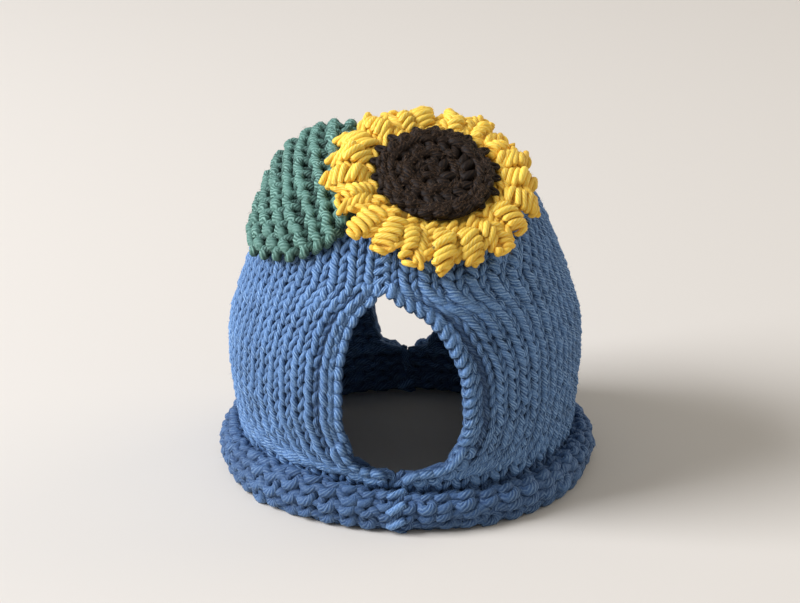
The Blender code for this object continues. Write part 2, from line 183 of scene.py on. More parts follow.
def wallFaces(side, across, row):
    # outer and inner points of a half's wall, mm
    front, frontStation, back, backStation = edgeAzimuths(side, row)
    station = row + (frontStation - row) * fade(across, body["rowBendReach"])
    station = station + (backStation - row) * fade(1 - across, body["rowBendReach"])
    azimuth = columnAzimuth(front, back, side, across)
    radius, height, outX, outZ = sectionPoint(station)
    width = np.abs(back - front) * radius
    foot = hemAt(np.degrees(azimuth))[2] + body["cloth"] / 2
    radius = radius + (foot - wallRows[0, 0]) * fade(station, body["footReach"])
    opened = openAt(row)
    dip = (1 - opened) * body["seamDip"] * np.minimum(row / body["seamDipFullRow"], 1.0)
    for distance in (across * width, (1 - across) * width):
        radius = radius - (opened * body["edgeCurl"] + dip) * fade(distance, body["curlReach"])
    radius = radius + unevenness(azimuth, height)
    depth = np.minimum(body["cloth"], 0.9 * np.maximum(radius, 0.0) / np.maximum(outX, 0.01))
    outer = placed(radius, azimuth, height)
    inner = placed(radius - depth * outX, azimuth, height - depth * outZ)
    return outer, inner


def hemFaces(side, across, step):
    # the same for the rolled hem, counted from its tucked end to the foot of the wall
    front, _, back, _ = edgeAzimuths(side, np.zeros_like(across))
    azimuth = columnAzimuth(front, back, side, across)
    halfHeight, halfDepth, foot = hemAt(np.degrees(azimuth))
    angle = np.radians((body["hemSteps"] - step) * body["hemStepAngle"] - 180.0)
    middleRadius = foot + halfDepth - body["cloth"] / 2 + unevenness(azimuth, 0.0)
    middleHeight = halfHeight - body["hemFlattening"]

    def ring(inset):
        radius = middleRadius + (halfDepth - inset) * np.cos(angle)
        height = middleHeight + (halfHeight - inset) * np.sin(angle)
        return placed(radius, azimuth, np.maximum(height, 0.0))

    return ring(body["cloth"]), ring(0.0)


knit = {
    "stitches": {-1: 27, 1: 32},  # a row, on the left and on the right half
    "rowHeight": {-1: 3.4, 1: 3.1},  # mm, 29 and 32 rows to 10 cm; double knitting yarn gives about 30
    "footLength": 6.0,  # mm of cloth between the wall and the roll
    "hemRows": 8,
    "hemRowHeight": 3.4,
    "lastRow": 129.5,  # the stitches above it are drawn together
    "edgeInset": 0.0085,  # share of a half's width, about half a yarn
    "seamInset": 0.003,
    "backingInset": 0.018,
    # how far a loop stands above and below the middle of its row, in rows; half its depth, how much its
    # head stands behind its feet, and how much fuller and further out its left leg is, in mm
    "wall": {"yarnRadius": 1.13, "reach": 0.87, "bulge": 1.5, "depth": 0.84, "shingle": 0.36,
             "legSkew": 0.13, "tilt": 0.0, "uneven": 1.25},
    "hem": {"yarnRadius": 1.5, "reach": 0.68, "bulge": 1.15, "depth": 0.5, "shingle": 0.38,
            "legSkew": 0.0, "tilt": 0.7, "uneven": 1.8},
    # how much the stitches differ, times "uneven": height, sideways, out of the cloth, yarn radius
    "differs": (0.07, 0.05, 0.13, 0.05),
    "rowWobble": ((0.3, 9, 1.7), (0.2, 23, 0.9)),  # mm, waves across a half, turn from row to row
    "stretched": (0.85, 1.3, 0.6),  # the yarn fills a wider stitch, between these two, by this power
    "edgeSpan": 145.0,  # mm across a half beside the openings
    "groove": (1.7, 5.6, 2.2),  # mm: how deep, how far from the edge of an opening, how wide
    "usualWidth": 5.6,  # mm, a stitch that is neither stretched nor pulled together
    "pointsPerStitch": 14,
    "sides": 8,
    # how deep below the top of the cloth a point may lie before it takes the full painted shade, and how
    # far fuzz may start; the hem's is larger, so the whole brim gets painted shade
    "halfDepth": {"Hem": 5.6, "Wall": 1.9, "Crown": 1.9},
    "crownStarts": 70,  # mm up the wall
    "crownPitch": {-1: 5.6, 1: 4.9},  # mm, a stitch where the crown is decreased
    "fewest": 3,
    "backingTop": 1.0,  # mm below the top
    "fibres": 18000,
    "seams": {"front": (0.002, 65.2), "back": (0.998, 71.0)},  # share of a half, row above the opening
    "seamRows": (-5.0, 6.0, 122.0),  # from and to below an opening, and to above it
    "hemSeamFrom": -31.0,
    "edgeShares": (0.013, 0.987),
    "edgeEnds": 69.0,
}


def clothAt(side, across, row):
    # middle of the cloth and its outward direction; rows below 0 run round the hem
    onWall = np.clip(row, 0.0, topStation)
    outer, inner = wallFaces(side, across, onWall)
    hemLength = knit["hemRows"] * knit["hemRowHeight"]
    step = body["hemSteps"] * np.clip(1 + (row + knit["footLength"]) / hemLength, 0.0, 1.0)
    hemOuter, hemInner = hemFaces(side, across, step)
    share = np.clip(-row / knit["footLength"], 0.0, 1.0)[..., None]
    outer = outer + (hemOuter - outer) * share
    inner = inner + (hemInner - inner) * share
    return (outer + inner) / 2, unit(outer - inner)


def gridFaces(rows, columns, closed):
    # each face's row, column and corners; closed joins the last column to the first
    i, j = np.meshgrid(np.arange(rows - 1), np.arange(columns if closed else columns - 1), indexing="ij")
    low, high, nextJ = i * columns, (i + 1) * columns, (j + 1) % columns
    return i, j, np.stack([low + j, low + nextJ, high + nextJ, high + j], -1).reshape(-1, 4)


def inScene(name, data):
    thing = bpy.data.objects.new(name, data)
    bpy.context.scene.collection.objects.link(thing)
    return thing


def onBody(name, mesh, material):
    # cloth has no joints, so every piece goes with the one body
    mesh.materials.append(material)
    thing = inScene(name, mesh)
    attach(thing, "root")
    return thing


def yarnPiece(name, strands, sides, material, halfDepth):
    # strands of yarn as tubes, in mm: points, directions out of the cloth, radii, heights in the cloth,
    # which set how much painted shade each point gets and whether fuzz may start there
    corners, faces, uvs, tucked, ends = [], [], [], [], []
    base = 0
    ringAngles = 2 * pi * np.arange(sides) / sides
    for points, outward, radii, heights in strands:
        count = len(points)
        radii = np.broadcast_to(radii, count)
        tangent = unit(np.gradient(points, axis=0))
        sideways = unit(np.cross(tangent, outward))
        up = np.cross(sideways, tangent)
        ring = np.cos(ringAngles)[None, :, None] * up[:, None, :]
        ring = ring + np.sin(ringAngles)[None, :, None] * sideways[:, None, :]
        tube = points[:, None, :] + ring * radii[:, None, None]
        corners.append(tube.reshape(-1, 3))
        # painted shade: the further a point of the tube lies below the top of the cloth, the more its
        # colour is darkened towards the material's shade colour
        standing = np.asarray(heights)[:, None] + np.cos(ringAngles)[None, :] * radii[:, None]
        tucked.append(np.clip(1 - np.abs(standing) / halfDepth, 0.0, 1.0).ravel())
        along = np.concatenate([[0.0], np.cumsum(np.linalg.norm(np.diff(points, axis=0), axis=1))])
        i, k, quads = gridFaces(count, sides, True)
        faces.append(quads + base)
        u = np.stack([along[i], along[i], along[i + 1], along[i + 1]], -1)
        v = np.stack([k / sides, (k + 1) / sides, (k + 1) / sides, k / sides], -1)
        uvs.append(np.stack([u, v], -1).reshape(-1, 2))
        ends += [base + np.arange(sides)[::-1], base + (count - 1) * sides + np.arange(sides)]
        base += count * sides
    corners = np.concatenate(corners)
    corners[:, 2] = np.maximum(corners[:, 2], 0.0)  # nothing goes below the table
    faces = np.concatenate(faces)
    mesh = bpy.data.meshes.new(name)
    mesh.vertices.add(len(corners))
    mesh.vertices.foreach_set("co", (corners * mm).astype(np.float32).ravel())
    ends = np.array(ends)
    mesh.loops.add(faces.size + ends.size)
    mesh.loops.foreach_set("vertex_index", np.concatenate([faces.ravel(), ends.ravel()]).astype(np.int32))
    mesh.polygons.add(len(faces) + len(ends))
    starts = np.concatenate([np.arange(0, faces.size, 4), faces.size + np.arange(0, ends.size, sides)])
    mesh.polygons.foreach_set("loop_start", starts.astype(np.int32))
    mesh.polygons.foreach_set("use_smooth", np.ones(len(faces) + len(ends), bool))
    layer = mesh.uv_layers.new(name="yarn")
    uvs.append(np.full((ends.size, 2), 0.5))
    layer.uv.foreach_set("vector", np.concatenate(uvs).astype(np.float32).ravel())
    depth = mesh.attributes.new("tucked", "FLOAT", "POINT")
    depth.data.foreach_set("value", np.concatenate(tucked).astype(np.float32))
    mesh.update(calc_edges=True)
    mesh.validate()
    return onBody(name, mesh, material)


backingTucked = 0.75  # how far in the shade of the yarn the cloth behind it is


def sheetPiece(name, points, material, closed=False):
    # a grid of points, in mm, as one thin sheet behind the stitches
    rows, columns = points.shape[:2]
    mesh = bpy.data.meshes.new(name)
    quads = gridFaces(rows, columns, closed)[2]
    mesh.from_pydata((points.reshape(-1, 3) * mm).tolist(), [], quads.tolist())
    mesh.polygons.foreach_set("use_smooth", np.ones(len(mesh.polygons), bool))
    depth = mesh.attributes.new("tucked", "FLOAT", "POINT")
    # painted shade: the sheet is darkened most of the way to the yarn's shade colour
    depth.data.foreach_set("value", np.full(rows * columns, backingTucked, np.float32))
    return onBody(name, mesh, material)


fuzz = {
    "length": (0.5, 1.9),  # mm
    "width": 0.06,  # mm, several hairs together
    "taper": 0.7,
    "spread": 0.8,
    "curl": 1.4,
    "curlSpread": 0.6,
    "outermost": 0.6,  # the most tucked a place may be for a fibre to start there
    "overTable": 0.02,  # mm
}


def valuesOf(items, key, width):
    values = np.empty(len(items) * width, np.float32)
    items.foreach_get(key, values)
    return values.reshape(-1, width)


def strayFibres(name, pieces, material, number):
    # short fibres that stand off the yarn, each a bent ribbon that runs out to a point
    places, normals = [], []
    for mesh in [piece.data for piece in pieces]:
        outside = valuesOf(mesh.attributes["tucked"].data, "value", 1)[:, 0] < fuzz["outermost"]
        places.append(valuesOf(mesh.vertices, "co", 3)[outside] / mm)
        normals.append(valuesOf(mesh.vertex_normals, "vector", 3)[outside])
    places, normals = np.concatenate(places).astype(float), np.concatenate(normals).astype(float)
    chosen = rng.integers(0, len(places), number)
    start = places[chosen]
    aim = unit(normals[chosen] + fuzz["spread"] * rng.normal(size=(number, 3)))
    bent = unit(aim + fuzz["curl"] * rng.normal(0.0, fuzz["curlSpread"], (number, 3)))
    half = rng.uniform(*fuzz["length"], (number, 1)) / 2
    side = unit(np.cross(aim, rng.normal(size=(number, 3)))) * fuzz["width"] / 2
    middle = start + aim * half
    narrow = side * fuzz["taper"]
    ring = [start - side, start + side, middle + narrow, middle - narrow, middle + bent * half]
    corners = np.stack(ring, 1)
    corners[..., 2] = np.maximum(corners[..., 2], fuzz["overTable"])
    base = (5 * np.arange(number)).tolist()
    faces = [(b, b + 1, b + 2, b + 3) for b in base] + [(b + 3, b + 2, b + 4) for b in base]
    mesh = bpy.data.meshes.new(name)
    mesh.from_pydata((corners.reshape(-1, 3) * mm).tolist(), [], faces)
    layer = mesh.uv_layers.new(name="yarn")
    layer.uv.foreach_set("vector", rng.uniform(0, 1, 2 * len(mesh.loops)).astype(np.float32))
    mesh.attributes.new("tucked", "FLOAT", "POINT")
    return onBody(name, mesh, material)


def addNode(tree, kind, settings=None, **sockets):
    # a shader node with its settings; a socket is given by name or as i0, i1, and takes a number or a node
    made = tree.nodes.new("ShaderNode" + kind)
    for key, value in (settings or {}).items():
        if key in made.inputs:
            made.inputs[key].default_value = value
        else:
            setattr(made, key, value)
    for key, source in sockets.items():
        socket = made.inputs[int(key[1:]) if key[1:].isdigit() else key]
        if isinstance(source, bpy.types.Node):
            source = source.outputs[0]
        if isinstance(source, bpy.types.NodeSocket):
            tree.links.new(source, socket)
        else:
            socket.default_value = source
    return made


spun = {
    # noise scales per metre: features of about 2.4, 0.5, 3.8 and 18 mm
    "wander": 420.0, "fibre": 2100.0, "soft": 260.0, "drift": 55.0,
    "plyShows": (0.08, 0.62),  # from place to place
    "withoutPly": 0.55,
    "baseAt": 0.45,  # of the way from deep to light
    "brightness": (0.88, 1.12),
    "fibreDepth": 0.18,  # mm
    "sheenRoughness": 0.4,
    "specular": 0.3,
}


def yarnMaterial(name, look):
    # spun acrylic: matt, with a painted highlight on the backs of the plies and painted shade between them
    # and below the top of the cloth
    material = bpy.data.materials.new(name)
    material.use_nodes = True
    tree = material.node_tree
    shader = tree.nodes["Principled BSDF"]
    where = addNode(tree, "TexCoord").outputs["Object"]

    def maths(operation, *values):
        return addNode(tree, "Math", {"operation": operation}, **{f"i{k}": v for k, v in enumerate(values)})

    def noise(scale, detail, roughness=0.5, place=where):
        return addNode(tree, "TexNoise", Vector=place, Scale=scale, Detail=detail, Roughness=roughness)

    def ranged(source, fromMin, fromMax, toMin=0.0, toMax=1.0):
        ends = {"From Min": fromMin, "From Max": fromMax, "To Min": toMin, "To Max": toMax}
        return addNode(tree, "MapRange", ends, i0=source)

    parts = addNode(tree, "SeparateXYZ", i0=addNode(tree, "UVMap", {"uv_map": "yarn"}))
    around = maths("MULTIPLY", parts.outputs[1], look["plies"])
    turn = maths("MULTIPLY_ADD", parts, 1 / look["plySpacing"], around)
    turned = maths("MULTIPLY_ADD", noise(spun["wander"], 2.0), 0.5, turn)
    ply = ranged(maths("SINE", maths("MULTIPLY", turned, 2 * pi)), -1.0, 1.0)
    # fibres lie along the plies: noise stretched that way
    along = addNode(tree, "CombineXYZ", i0=maths("MULTIPLY", turn, look["fibres"]), i1=around)
    fibre = maths("MULTIPLY", noise(spun["fibre"], 3.0, 0.75), 0.5)
    grainAndGlint = maths("MULTIPLY_ADD", noise(1.0, 3.0, 0.65, along), 0.5, fibre)
    # how strongly the plies show changes from place to place
    shows = ranged(noise(spun["soft"], 1.0), 0.35, 0.65, *spun["plyShows"])
    mixed = addNode(tree, "Mix", {"data_type": "FLOAT"}, i0=shows, i2=spun["withoutPly"], i3=ply)
    # the fibre noise bumps the yarn and is also mixed into its colour as painted glints
    toned = maths("MULTIPLY_ADD", grainAndGlint, look["grainAndGlint"], mixed)
    plyShadeAndHighlight = addNode(tree, "ValToRGB", i0=maths("SUBTRACT", toned, look["grainAndGlint"] / 2))
    # the ramp paints shade into the ply valleys (deep) and a painted highlight onto the plies' backs
    # (light), with the yarn's own colour between them (base)
    ramp = plyShadeAndHighlight.color_ramp.elements
    ramp[0].color = linear(look["deep"])
    ramp[1].color = linear(look["light"])
    ramp.new(spun["baseAt"]).color = linear(look["base"])
    # painted shade: the colour is mixed towards a shade colour the further the yarn lies below the top of
    # the cloth
    depth = addNode(tree, "Attribute", {"attribute_name": "tucked"}).outputs["Fac"]
    paintedShadeMix = maths("MULTIPLY", depth, look["tuckedShare"])
    shaded = addNode(tree, "Mix", {"data_type": "RGBA"}, i0=paintedShadeMix, i6=plyShadeAndHighlight, i7=linear(look["tucked"]))
    change = ranged(noise(spun["drift"], 2.0), 0.3, 0.7, *spun["brightness"])
    colour = addNode(tree, "VectorMath", {"operation": "SCALE"}, i0=shaded.outputs[2], Scale=change)
    tree.links.new(colour.outputs[0], shader.inputs["Base Color"])
    bump = addNode(tree, "Bump", Strength=1.0, Distance=look["plyDepth"] * mm, Height=mixed)
    deep = spun["fibreDepth"] * mm
    bump = addNode(tree, "Bump", Strength=0.9, Distance=deep, Height=grainAndGlint, Normal=bump)
    tree.links.new(bump.outputs[0], shader.inputs["Normal"])
    shader.inputs["Roughness"].default_value = look["roughness"]
    shader.inputs["Specular IOR Level"].default_value = look.get("specular", spun["specular"])
    shader.inputs["Sheen Weight"].default_value = look["sheen"]
    shader.inputs["Sheen Roughness"].default_value = spun["sheenRoughness"]
    shader.inputs["Sheen Tint"].default_value = linear(look["light"])
    return material


# double knitting yarn, S-plied at about 35 degrees: a ply line with a painted highlight about every 0.9 mm
# across, hairy
blueAcrylic = yarnMaterial("blueAcrylicYarn", {
    "deep": "#24426c", "base": "#5175a2", "light": "#9abad9", "tucked": "#102648", "tuckedShare": 0.86,
    "plies": 7, "plySpacing": 1.5, "fibres": 3.0, "grainAndGlint": 1.8, "plyDepth": 0.18, "roughness": 0.7,
    "sheen": 0.2,
})
# fewer and deeper plies, so that the leaf's ridges look corded, with painted highlights on the plies' backs
greenAcrylic = yarnMaterial("greenAcrylicYarn", {
    "deep": "#284439", "base": "#466c5f", "light": "#98c0b0", "tucked": "#0e1b16", "tuckedShare": 0.9,
    "plies": 5, "plySpacing": 1.0, "fibres": 3.0, "grainAndGlint": 0.5, "plyDepth": 0.26, "roughness": 0.66,
    "sheen": 0.2,
})
# worked tight, its plies faint; its hollows get a warm orange painted shade, not a dark one, standing in
# for light that goes through the yarn
yellowAcrylic = yarnMaterial("yellowAcrylicYarn", {
    "deep": "#f2b02a", "base": "#fcd148", "light": "#ffe788", "tucked": "#dd9824", "tuckedShare": 0.48,
    "plies": 6, "plySpacing": 1.5, "fibres": 3.0, "grainAndGlint": 1.0, "plyDepth": 0.1, "roughness": 0.65,
    "sheen": 0.15,
})
# dyed so dark that only the painted highlights on the backs of its plies show
brownYarn = {
    "deep": "#0b0706", "base": "#221710", "light": "#5e4733", "tucked": "#070504", "tuckedShare": 0.8,
    "plies": 7, "plySpacing": 1.5, "fibres": 4.0, "grainAndGlint": 1.5, "plyDepth": 0.14, "roughness": 0.6,
    "sheen": 0.0, "specular": 0.15,
}
brownAcrylic = yarnMaterial("brownAcrylicYarn", brownYarn)
# the same yarn's loose hairs, given lighter colours than the yarn as a painted glint, for how they look
# where they stand in the light
brownFuzzGlint = yarnMaterial("brownAcrylicFuzzPaintedGlint", dict(
    brownYarn, deep="#3a2a1c", base="#5d4631", light="#8a6a4a", grainAndGlint=1.0, plyDepth=0.02, roughness=0.5,
    specular=0.3,
))


def stitchCount(side, row):
    # stitches across a half on this row: the crown is decreased at its edges
    if row < knit["crownStarts"]:
        return knit["stitches"][side]
    radius = float(sectionPoint(np.array([row]))[0][0])
    fitting = round(pi * radius / knit["crownPitch"][side])
    return min(knit["stitches"][side], max(knit["fewest"], fitting))


columns = {
    "frontOpen": 20.8,  # degrees, where the edges stand beside the open spout and handle
    "backOpen": 166.8,
    "upperReach": 0.28,  # share of the stitches that the closing of an opening moves, above it
    "lowerReach": {-1: 0.6, 1: 0.36},
    "lowerEnds": 26.0,
    "wander": 0.5,  # degrees
}


def stitchAcross(side, share, row):
    # share of a half's stitches to share of its cloth: they stand evenly beside the openings and are
    # pulled towards the seams above and below them
    onWall = np.clip(row, 0.0, topStation)
    front, _, back, _ = edgeAzimuths(side, onWall)
    frontOpen = side * radians(columns["frontOpen"])
    backOpen = side * radians(columns["backOpen"])
    low = fade(onWall, columns["lowerEnds"])
    reach = columns["upperReach"] + (columns["lowerReach"][side] - columns["upperReach"]) * low
    azimuth = frontOpen + (backOpen - frontOpen) * share
    azimuth = azimuth + (front - frontOpen) * fade(share, reach)
    azimuth = azimuth + (back - backOpen) * fade(1 - share, columns["upperReach"])
    wander = radians(columns["wander"]) * np.sin(pi * share)
    azimuth = azimuth + wander * (np.sin(row / 9 + 11 * share + side) + 0.6 * np.sin(row / 23 - 29 * share))
    near, far = np.zeros_like(azimuth), np.ones_like(azimuth)
    for _ in range(16):
        middle = (near + far) / 2
        short = side * columnAzimuth(front, back, side, middle) < side * azimuth
        near = np.where(short, middle, near)
        far = np.where(short, far, middle)
    inset = knit["seamInset"] + (knit["edgeInset"] - knit["seamInset"]) * openAt(onWall)
    return inset + (1 - 2 * inset) * near


def stitchAngles(count, points):
    # along a row: share of its length, which stitch it is, and the angle within that stitch
    local = np.linspace(0.0, 1.0, count * points + 1)
    index = np.minimum((local * count).astype(int), count - 1)
    return local, index, 2 * pi * (local * count - index) - pi


def halfRows(side):
    # the yarn of each row of a half, from the cast-on edge up, as strands in mm
    centres = [-knit["footLength"] - knit["hemRowHeight"] * (k + 0.5) for k in range(knit["hemRows"])][::-1]
    heights = [knit["hemRowHeight"]] * knit["hemRows"]
    rowHeight = knit["rowHeight"][side]
    row = -knit["footLength"] + rowHeight / 2
    while row < knit["lastRow"]:
        centres.append(row)
        heights.append(rowHeight)
        row += rowHeight
    strands = []
    points = knit["pointsPerStitch"]
    for j, (centre, height) in enumerate(zip(centres, heights)):
        loop = knit["wall"] if centre > -knit["footLength"] else knit["hem"]
        count = stitchCount(side, centre)
        local, index, angle = stitchAngles(count, points)
        jitter = rng.normal(size=(count + 1, 4)) * loop["uneven"]
        taller, shifted, standing, fatter = (jitter[index] * knit["differs"]).T
        x = (angle + loop["bulge"] * np.sin(2 * angle)) / (2 * pi)
        x = x + shifted * np.cos(angle / 2) ** 2
        y = loop["reach"] * height * (1 + taller) * np.cos(angle) - side * loop["tilt"] * np.sin(angle)
        z = loop["depth"] * np.cos(2 * angle) + loop["shingle"] * np.cos(angle) + standing
        share = np.clip((index + 0.5 + x) / count, 0.0, 1.0)
        line, _ = clothAt(side, stitchAcross(side, local, centre), np.full(local.shape, centre))
        wide = points * np.linalg.norm(np.gradient(line, axis=0), axis=1) / knit["usualWidth"]
        drift = sum(size * np.sin(local * waves + j * turn) for size, waves, turn in knit["rowWobble"])
        at = centre + y + drift
        middle, outward = clothAt(side, stitchAcross(side, share, at), at)
        legSide = -side * np.sin(angle) * np.abs(np.sin(angle))
        radii = loop["yarnRadius"] * (1 + loop["legSkew"] * legSide) * (1 + fatter)
        least, most, power = knit["stretched"]
        radii = radii * np.clip(wide, least, most) ** power
        z = z - loop["legSkew"] * legSide
        deep, away, grooveReach = knit["groove"]
        z = z + deep * openAt(at) * fade(np.abs(share * knit["edgeSpan"] - away), grooveReach)
        strands.append((middle - outward * z[:, None], outward, radii, -z))
    return strands, centres


def joinRows(strands):
    # flat knitting: the yarn turns at each edge and comes back along the next row
    joined = []
    for j, strand in enumerate(strands):
        joined.append([part[::-1] if j % 2 else part for part in strand])
    return [tuple(np.concatenate([s[k] for s in joined]) for k in range(4))]


def knittedHalf(name, side, node):
    strands, centres = halfRows(side)
    hemEnd = sum(c < 0 for c in centres)
    middle = (hemEnd + len(centres)) // 2
    stitches = []
    for part, low, high in (("Hem", 0, hemEnd), ("Wall", hemEnd, middle), ("Crown", middle, len(centres))):
        turned = joinRows(strands[low:high])
        halfDepth = knit["halfDepth"][part]
        stitches.append(yarnPiece(name + part + "Stitches", turned, knit["sides"], blueAcrylic, halfDepth))
    onWall = np.linspace(0, topStation - knit["backingTop"], 60)
    rows = np.concatenate([np.linspace(centres[0], 0, 14), onWall[1:]])
    across, rows = np.meshgrid(np.linspace(0.0, 1.0, 60), rows, indexing="xy")
    inset = knit["backingInset"] * openAt(rows)
    grid, _ = clothAt(side, inset + (1 - 2 * inset) * across, rows)
    backing = sheetPiece(name + "Cloth", grid, blueAcrylic)
    stitches.append(openingEdges(side, name + "Edging"))
    if side > 0:
        for which in ("front", "back"):
            stitches.append(seam(side, which + "Seam", *knit["seams"][which]))
    stitches.append(strayFibres(name + "Fibres", stitches, blueAcrylic, knit["fibres"]))
    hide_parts(node)


def readAt(at, known, values):
    # each column of the values, between the places where it is known
    return np.stack([np.interp(at, known, column) for column in values.T], axis=-1)


def pathReader(path, outward):
    # a function that reads a path at distances along it, in mm: points, and directions out of the
    # cloth, ahead and sideways; and the path's length
    along = np.concatenate([[0.0], np.cumsum(np.linalg.norm(np.diff(path, axis=0), axis=1))])
    at = np.linspace(0.0, along[-1], max(4, int(round(along[-1] / edging["step"])) + 1))
    even, turned = readAt(at, along, path), unit(readAt(at, along, outward))
    slopes = np.gradient(even, axis=0)

    def read(where):
        up = unit(readAt(where, at, turned))
        ahead = unit(readAt(where, at, slopes))
        return readAt(where, at, even), up, ahead, unit(np.cross(ahead, up))

    return read, at[-1]


def chain(path, outward, look):
    # a column of looped stitches, as at a selvedge or on a crocheted edge
    read, length = pathReader(path, outward)
    stitches = max(1, round(length / look["pitch"]))
    a = np.linspace(-pi, pi * (2 * stitches - 1), stitches * look["points"] + 1)
    forward = length * ((a + pi) / (2 * pi * stitches)) + look["reach"] * np.cos(a)
    middle, up, _, sideways = read(np.clip(forward, 0.0, length))
    height = -look["depth"] * np.cos(2 * a)
    points = middle + sideways * (look["width"] * np.sin(a))[:, None] + up * height[:, None]
    return points, up, np.full(len(a), look["yarnRadius"]), height


def winding(path, outward, look):
    # yarn wound round a path, so that its strokes lie slantwise over it
    read, length = pathReader(path, outward)
    turns = max(1.0, length / look["pitch"])
    count = int(turns * look["points"]) + 1
    where = np.linspace(0.0, length, count)
    a = np.linspace(0.0, 2 * pi * turns, count) + look.get("start", 0.0)
    middle, up, ahead, sideways = read(where)
    slant = look["slant"] * np.cos(a) * look["pitch"]
    wide = np.interp(where / length, *look["fullness"]) if "fullness" in look else 1.0
    points = middle + sideways * (look["width"] * wide * np.cos(a))[:, None]
    points = points + up * (look["height"] * wide * np.sin(a))[:, None] + ahead * slant[:, None]
    return points, up, np.full(count, look["yarnRadius"]), look["height"] * np.sin(a)


edging = {
    "chain": {"pitch": 4.3, "reach": 2.7, "width": 1.5, "depth": 0.5, "points": 12, "yarnRadius": 1.45},
    "overcast": {"pitch": 3.5, "width": 1.5, "height": 0.85, "slant": 0.55, "points": 13,
                 "yarnRadius": 1.35},
    "lowChain": {"pitch": 4.4, "reach": 2.7, "width": 1.75, "depth": 0.6, "points": 14, "yarnRadius": 1.5},
    "band": (3.4, 15.0),  # rows, the thicker band under an opening
    "bandOut": 1.7,
    "bandIn": 0.008,  # share of a half
    "bandOver": 4.0,  # rows that it runs on beside the edge's own yarn
    "sides": 7,
    "step": 0.25,  # mm, between the points that a path is read at
    "sewn": {"pitch": 3.2, "width": 1.5, "height": 0.6, "slant": 0.45, "points": 12, "yarnRadius": 1.08,
             "fullness": ((0.0, 0.1, 0.25, 1.0), (1.5, 1.5, 1.0, 1.0))},
    "sewnHem": {"pitch": 4.6, "width": 2.4, "height": 0.7, "slant": 0.55, "points": 14, "yarnRadius": 1.35},
    "halfDepth": 1.6,
    "seamOut": 0.55,  # mm, how far the sewing stands out of the cloth's middle
    "hemSeamOut": 0.9,
    "outOfCloth": {-1: 0.6, 1: 1.2},
}


def edgeRun(side, share, low, high):
    # the middle of the cloth along an edge of a half between two rows, in mm
    rows = np.arange(low, high + 0.25, 0.5)
    return clothAt(side, np.full(rows.shape, share), rows)


def openingEdges(side, name):
    # along a half's edges at the spout and at the handle: a chain on one half, overcast on the other
    strands = []
    low, high = edging["band"]
    for share in knit["edgeShares"]:
        path, outward = edgeRun(side, share, high, knit["edgeEnds"])
        path = path + outward * edging["outOfCloth"][side]
        worked, look = (winding, "overcast") if side > 0 else (chain, "chain")
        strands.append(worked(path, outward, edging[look]))
        inwards = edging["bandIn"] if share < 0.5 else -edging["bandIn"]
        path, outward = edgeRun(side, share + inwards, low, high + edging["bandOver"])
        path = path + outward * edging["bandOut"]
        strands.append(chain(path, outward, edging["lowChain"]))
    return yarnPiece(name, strands, edging["sides"], blueAcrylic, edging["halfDepth"])


def seam(side, name, share, above):
    # yarn sewn to and fro between the two halves; the roll shows the cloth's other side
    foot, low, top = knit["seamRows"]
    strands = []
    for start, end, facing, out, look in (
        (foot, low, 1, "seamOut", "sewn"),
        (above, top, 1, "seamOut", "sewn"),
        (knit["hemSeamFrom"], foot, -1, "hemSeamOut", "sewnHem"),
    ):
        mine, mineOut = edgeRun(side, share, start, end)
        other, otherOut = edgeRun(-side, share, start, end)
        outward = facing * unit(mineOut + otherOut)
        strands.append(winding((mine + other) / 2 + outward * edging[out], outward, edging[look]))
    return yarnPiece(name, strands, edging["sides"], blueAcrylic, edging["halfDepth"])


knittedHalf("leftHalf", -1, "left_half")
knittedHalf("rightHalf", 1, "right_half")
print("two knitted halves")


flower = {  # mm and degrees
    "place": (8.5, -20.0),
    "tilt": 30.0,
    "roll": 5.0,
    "curve": 170.0,
    "lift": 3.4,
    "liftTowards": 190.0,
    "liftStarts": 12.0,
    "liftReach": 20.0,
    "reach": 36.0,
    "seatGap": 0.35,
    "ring": 2.2,  # thickness of the ring that the petals grow from
    "petalRoot": 20.8,
    "petals": 20,
    "unevenness": (0.9, 2.7),
    "shortening": (1.4, 18.0),
    "tipRise": 0.86,
    "petalShape": [  # share across a petal, reach, height
        (0.0, 29.6, 1.4), (1 / 7, 31.4, 3.4), (2 / 7, 33.2, 4.4), (3 / 7, 34.4, 4.0),
        (4 / 7, 34.2, 2.8), (5 / 7, 32.6, 1.8), (6 / 7, 30.4, 1.2), (1.0, 29.6, 1.4),
    ],
    "centreTop": [  # radius, height
        (0.0, 3.4), (1.5, 3.6), (4.2, 4.6), (7.0, 4.0), (10.2, 5.2), (13.0, 4.5), (16.2, 5.7), (18.6, 4.6),
        (20.6, 3.4),
    ],
}


def flowerBase(x, y):
    # height of the flower's underside in its own frame
    radius = np.hypot(x, y)
    turn = np.arctan2(y, x) - radians(flower["liftTowards"])
    lift = flower["lift"] * np.maximum(np.cos(turn), 0.0) ** 2
    lift = lift * (1 - fade(radius - flower["liftStarts"], flower["liftReach"]))
    return -radius**2 / (2 * flower["curve"]) + lift


flowerTurn = np.array((Matrix.Rotation(radians(flower["roll"]), 3, "Y")
                       @ Matrix.Rotation(radians(flower["tilt"]), 3, "X")))


def seatedFlower():
    # where the flower's own frame sits, touching nothing of the crown
    start = np.array([*flower["place"], 100.0])
    turns = np.linspace(0, 2 * pi, 90, endpoint=False)
    turns, rows = np.meshgrid(turns, np.linspace(knit["crownStarts"], topStation, 40))
    radius, height, _, _ = sectionPoint(rows)
    local = (placed(radius, turns, height).reshape(-1, 3) - start) @ flowerTurn
    local = local[np.hypot(local[:, 0], local[:, 1]) < flower["reach"]]
    highest = np.max(local[:, 2] - flowerBase(local[:, 0], local[:, 1]))
    return start + flowerTurn @ np.array([0, 0, highest + flower["seatGap"]])


flowerStart = seatedFlower()


